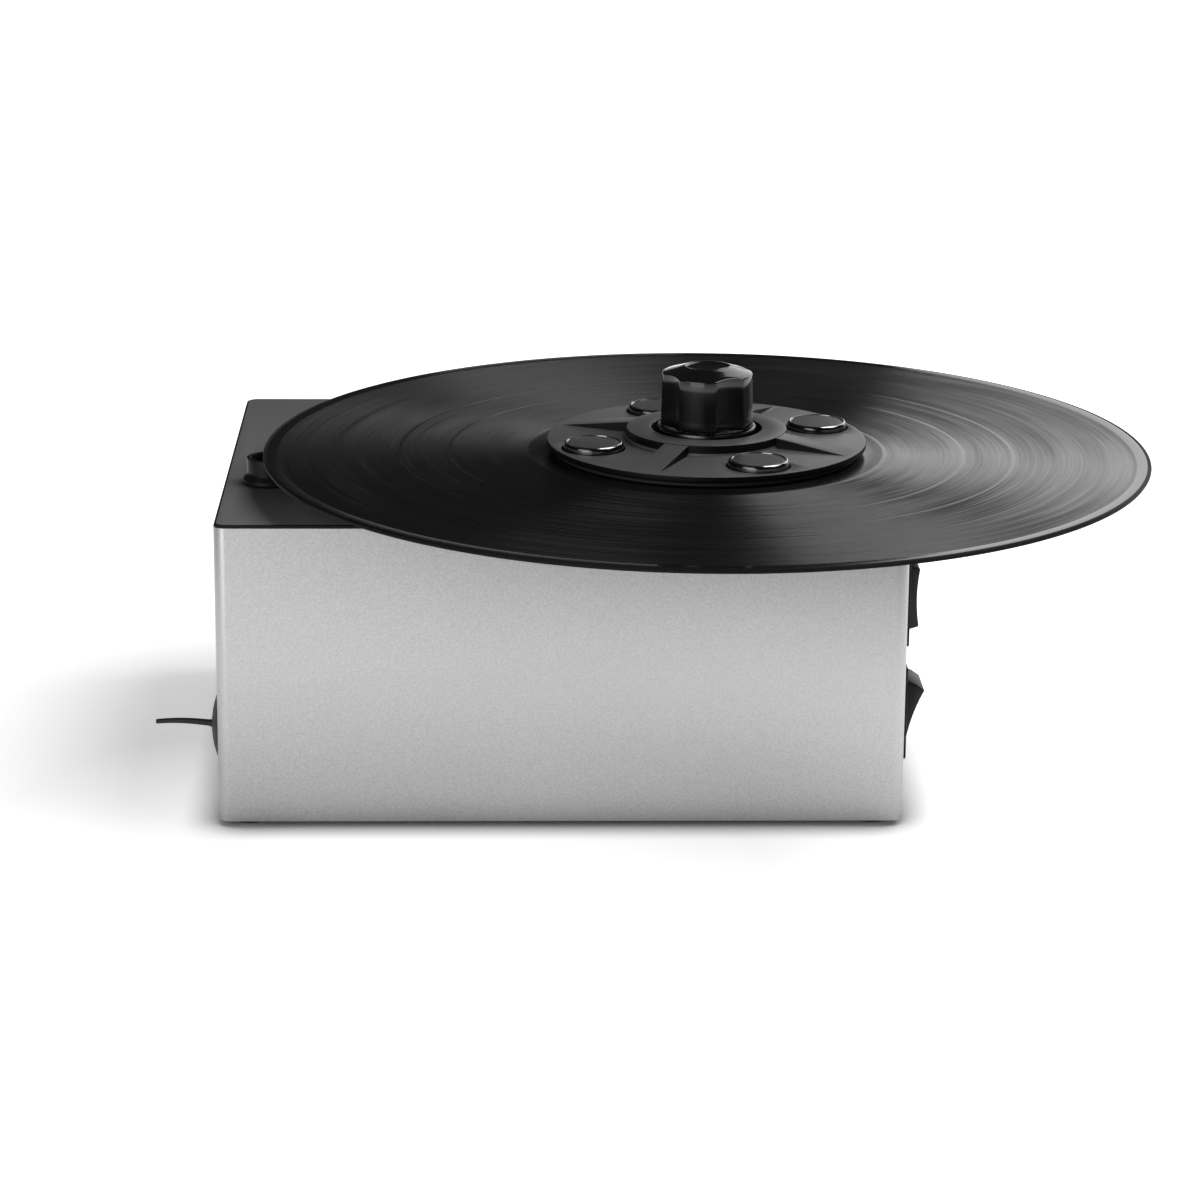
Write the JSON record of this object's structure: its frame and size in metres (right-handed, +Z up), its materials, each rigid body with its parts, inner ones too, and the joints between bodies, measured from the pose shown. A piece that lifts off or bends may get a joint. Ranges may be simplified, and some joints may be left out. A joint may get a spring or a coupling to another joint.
{
  "type": "record cleaning machine",
  "caption": "Desktop record cleaning machine with a motor-driven platter, a vinyl record under a screw-down clamp, a suction arm port, side switches, a blower and a waste tank.",
  "frame": {"origin": "on the floor, at the middle of the overall box, under the feet", "axes": "+X towards the machine's right-hand side with the switches, -Y towards its plain front, +Z up along the spindle"},
  "size_m": [0.338, 0.3016, 0.145],
  "materials": {
    "brushed_silver": "fine-grained satin silver",
    "plate_black": "satin gloss black",
    "satin_black": "satin black",
    "steel": "plain steel",
    "chrome": "polished with a satin top",
    "bare_aluminium": "machined",
    "brass": "turned brass",
    "black_rubber": "matt black rubber",
    "vinyl": "glossy grooved black vinyl",
    "black_plastic": "moulded black plastic",
    "switch_black": "fine matt black plastic",
    "tank_white": "moulded white plastic",
    "cork": "pressed cork",
    "white_nylon": "natural nylon",
    "laminations": "stacked iron sheets",
    "wound_coil": "copper winding under yellow tape",
    "board_green": "green circuit board"
  },
  "bodies": {
    "chassis": {"body_shell": "brushed_silver", "rear_panel": "satin_black", "top_plate": "plate_black", "base_plate": "steel", "rear_panel_screw_low_left": "steel", "rear_panel_screw_low_right": "steel", "rear_panel_screw_high_left": "steel", "rear_panel_screw_high_right": "steel", "foot_front_left": "black_rubber", "foot_front_right": "black_rubber", "foot_rear_left": "black_rubber", "foot_rear_right": "black_rubber", "corner_post_front_left": "bare_aluminium", "corner_post_front_right": "bare_aluminium", "corner_post_rear_left": "bare_aluminium", "corner_post_rear_right": "bare_aluminium", "spindle_bearing": "bare_aluminium", "lower_bush": "brass", "drive_bracket": "steel", "drive_motor": "steel", "arm_port": "black_plastic", "port_nut": "black_plastic", "port_sleeve": "black_rubber", "waste_tank": "tank_white", "tank_seal": "black_rubber", "tank_lid": "tank_white", "drain_spout": "black_plastic", "motor_pad": "black_rubber", "vacuum_motor": "steel", "blower_housing": "black_plastic", "blower_cover": "black_plastic", "suction_hose": "black_rubber", "lower_switch": "black_plastic", "upper_switch": "black_plastic", "mains_inlet": "black_plastic", "inlet_screw_left": "steel", "inlet_screw_right": "steel", "transformer_core": "laminations", "transformer_coil": "wound_coil", "control_board": "board_green"},
    "platter": {"spindle_shaft": "steel", "platter_disc": "bare_aluminium", "platter_mat": "cork", "drive_gear": "white_nylon"},
    "pinion": {"drive_pinion": "brass"},
    "record": {"record": "vinyl"},
    "clamp": {"clamp_disc": "satin_black", "clamp_seal": "black_rubber", "clamp_collar": "chrome", "clamp_weight_left": "chrome", "clamp_weight_front": "chrome", "clamp_weight_right": "chrome", "clamp_weight_rear": "chrome"},
    "knob": {"clamp_knob": "satin_black", "knob_nut": "brass"},
    "plug": {"drain_plug": "black_rubber"},
    "impeller": {"blower_impeller": "white_nylon"},
    "lower_rocker": {"lower_rocker": "switch_black"},
    "upper_rocker": {"upper_rocker": "switch_black"}
  },
  "joints": [
    {"name": "platter_spin", "type": "hinge", "parent": "chassis", "child": "platter", "pos_m": [0.01816, 0, 0.1074], "axis": [0, 0, 1], "continuous": true},
    {"name": "pinion_spin", "type": "hinge", "parent": "chassis", "child": "pinion", "pos_m": [-0.01935, 0, 0.07], "axis": [0, 0, 1], "continuous": true},
    {"name": "record_lift", "type": "slide", "parent": "platter", "child": "record", "axis": [0, 0, 1], "range_m": [0, 0.03]},
    {"name": "clamp_lift", "type": "slide", "parent": "record", "child": "clamp", "axis": [0, 0, 1], "range_m": [0, 0.04]},
    {"name": "knob_turn", "type": "hinge", "parent": "clamp", "child": "knob", "pos_m": [0.01816, 0, 0.12475], "axis": [0, 0, 1], "range_deg": [0, 1440]},
    {"name": "drain_plug_pull", "type": "slide", "parent": "chassis", "child": "plug", "axis": [-1, 0, 0], "range_m": [0, 0.03]},
    {"name": "impeller_spin", "type": "hinge", "parent": "chassis", "child": "impeller", "pos_m": [-0.02215, 0.0698, 0.0424], "axis": [0, 0, 1], "continuous": true},
    {"name": "lower_rocker_tilt", "type": "hinge", "parent": "chassis", "child": "lower_rocker", "pos_m": [0.08125, -0.0277, 0.0336], "axis": [0, 1, 0], "range_deg": [-36, 0]},
    {"name": "upper_rocker_tilt", "type": "hinge", "parent": "chassis", "child": "upper_rocker", "pos_m": [0.08125, -0.0277, 0.0734], "axis": [0, 1, 0], "range_deg": [-18, 18]}
  ],
  "couplings": [
    {"joint": "pinion_spin", "follows": "platter_spin", "ratio": -4}
  ]
}
